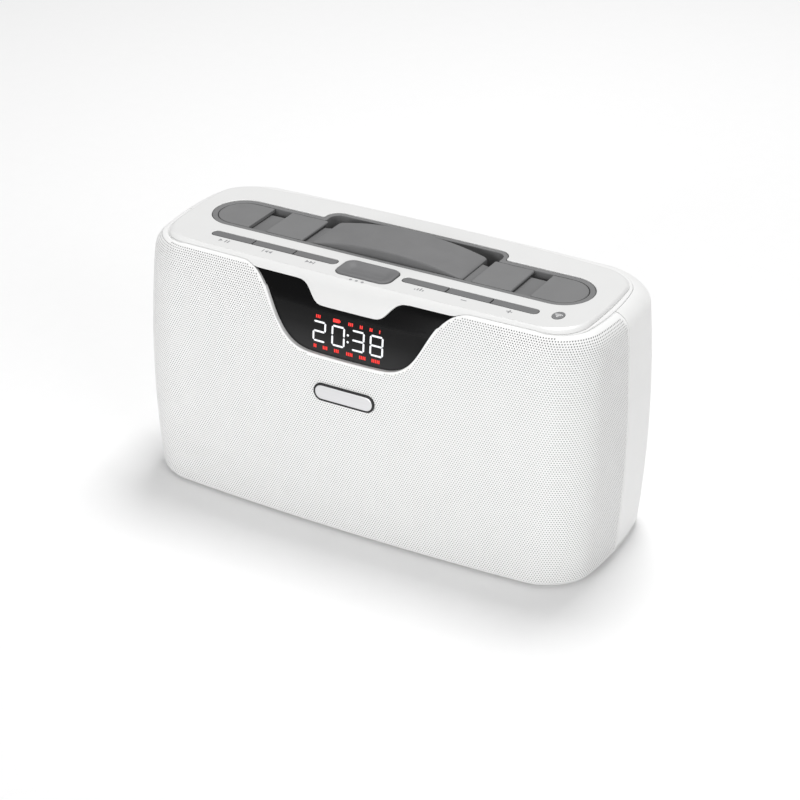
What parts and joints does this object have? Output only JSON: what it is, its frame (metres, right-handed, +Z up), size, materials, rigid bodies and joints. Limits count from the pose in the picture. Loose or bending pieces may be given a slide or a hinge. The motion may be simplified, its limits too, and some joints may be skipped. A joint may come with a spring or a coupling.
{
  "type": "clock radio",
  "caption": "Portable clock radio with a wrapped perforated grille, dark display window, top keys and a lift-up strap handle in a recess.",
  "frame": {"origin": "centre of the footprint at the underside of the rubber feet", "axes": "+X to the right as seen from the front, along the longest side; +Y towards the rear; +Z up; the front faces -Y"},
  "size_m": [0.2568, 0.1045, 0.1402],
  "materials": {
    "grille_white": "satin powder coat, finely perforated",
    "cabinet_white": "satin moulded",
    "panel_white": "satin gloss",
    "smoked_lens": "gloss, smoked",
    "badge_silver": "brushed",
    "tray_grey": "fine matte texture",
    "strap_rubber": "fine matte texture",
    "key_grey": "fine matte texture",
    "circuit_board": "solder mask",
    "emblem_grey": "satin",
    "lit_white": "lit",
    "lit_red": "lit",
    "magnet_steel": "zinc plated",
    "surround_rubber": "matte",
    "cone_paper": "pressed fibre",
    "screw_steel": "zinc plated",
    "cell_wrap": "shrink wrap",
    "socket_steel": "plated",
    "foot_rubber": "matte",
    "black_plastic": "moulded"
  },
  "bodies": {
    "case": {"front_grille": "grille_white", "rear_housing": "cabinet_white", "base_plate": "cabinet_white", "trim_ring": "cabinet_white", "top_cover": "panel_white", "display_window": "smoked_lens", "badge_plate": "badge_silver", "wireless_emblem": "emblem_grey", "recess_tray": "tray_grey", "end_cap_left": "tray_grey", "end_cap_right": "tray_grey", "bridge_left": "tray_grey", "bridge_right": "tray_grey", "keypad_board": "circuit_board", "tact_switches": "black_plastic", "led_module": "black_plastic", "led_digits": "lit_white", "led_icons": "lit_red", "display_board": "circuit_board", "front_baffle": "black_plastic", "driver_basket_left": "black_plastic", "driver_basket_right": "black_plastic", "driver_magnet_left": "magnet_steel", "driver_magnet_right": "magnet_steel", "driver_surround_left": "surround_rubber", "driver_surround_right": "surround_rubber", "driver_cone_left": "cone_paper", "driver_cone_right": "cone_paper", "driver_cap_left": "cone_paper", "driver_cap_right": "cone_paper", "driver_screws": "screw_steel", "baffle_screws": "screw_steel", "case_screws": "screw_steel", "bass_port": "black_plastic", "battery_pack": "cell_wrap", "battery_bracket": "black_plastic", "main_board": "circuit_board", "board_parts": "black_plastic", "port_panel": "black_plastic", "usb_socket": "socket_steel", "card_socket": "socket_steel", "aux_jack": "black_plastic", "dc_jack": "black_plastic", "switch_body": "socket_steel", "feet": "foot_rubber"},
    "key_play": {"key_play": "key_grey"},
    "key_previous": {"key_previous": "key_grey"},
    "key_next": {"key_next": "key_grey"},
    "key_function": {"key_function": "key_grey"},
    "key_sound": {"key_sound": "key_grey"},
    "key_volume_down": {"key_volume_down": "key_grey"},
    "key_volume_up": {"key_volume_up": "key_grey"},
    "handle": {"handle_grip": "strap_rubber", "strap_web_left": "strap_rubber", "strap_web_right": "strap_rubber"},
    "strap_left": {"strap_tail_left": "strap_rubber"},
    "strap_right": {"strap_tail_right": "strap_rubber"},
    "power_slider": {"power_slider": "black_plastic"}
  },
  "joints": [
    {"name": "key_play_press", "type": "slide", "parent": "case", "child": "key_play", "axis": [0, 0, -1], "range_m": [0, 0.0008], "stiffness_N_per_m": 1500, "springref_m": -0.0006},
    {"name": "key_previous_press", "type": "slide", "parent": "case", "child": "key_previous", "axis": [0, 0, -1], "range_m": [0, 0.0008], "stiffness_N_per_m": 1500, "springref_m": -0.0006},
    {"name": "key_next_press", "type": "slide", "parent": "case", "child": "key_next", "axis": [0, 0, -1], "range_m": [0, 0.0008], "stiffness_N_per_m": 1500, "springref_m": -0.0006},
    {"name": "key_function_press", "type": "slide", "parent": "case", "child": "key_function", "axis": [0, 0, -1], "range_m": [0, 0.0008], "stiffness_N_per_m": 1500, "springref_m": -0.0006},
    {"name": "key_sound_press", "type": "slide", "parent": "case", "child": "key_sound", "axis": [0, 0, -1], "range_m": [0, 0.0008], "stiffness_N_per_m": 1500, "springref_m": -0.0006},
    {"name": "key_volume_down_press", "type": "slide", "parent": "case", "child": "key_volume_down", "axis": [0, 0, -1], "range_m": [0, 0.0008], "stiffness_N_per_m": 1500, "springref_m": -0.0006},
    {"name": "key_volume_up_press", "type": "slide", "parent": "case", "child": "key_volume_up", "axis": [0, 0, -1], "range_m": [0, 0.0008], "stiffness_N_per_m": 1500, "springref_m": -0.0006},
    {"name": "handle_lift", "type": "slide", "parent": "case", "child": "handle", "axis": [0, 0, 1], "range_m": [0, 0.016], "deforming": ["strap_web_left", "strap_web_right"]},
    {"name": "strap_left_draw", "type": "slide", "parent": "handle", "child": "strap_left", "axis": [0.6, 0, -0.8], "range_m": [0, 0.02]},
    {"name": "strap_right_draw", "type": "slide", "parent": "handle", "child": "strap_right", "axis": [-0.6, 0, -0.8], "range_m": [0, 0.02]},
    {"name": "power_slide", "type": "slide", "parent": "case", "child": "power_slider", "axis": [1, 0, 0], "range_m": [0, 0.0048]}
  ],
  "couplings": [
    {"joint": "strap_left_draw", "follows": "handle_lift", "ratio": 1.25},
    {"joint": "strap_right_draw", "follows": "handle_lift", "ratio": 1.25}
  ]
}
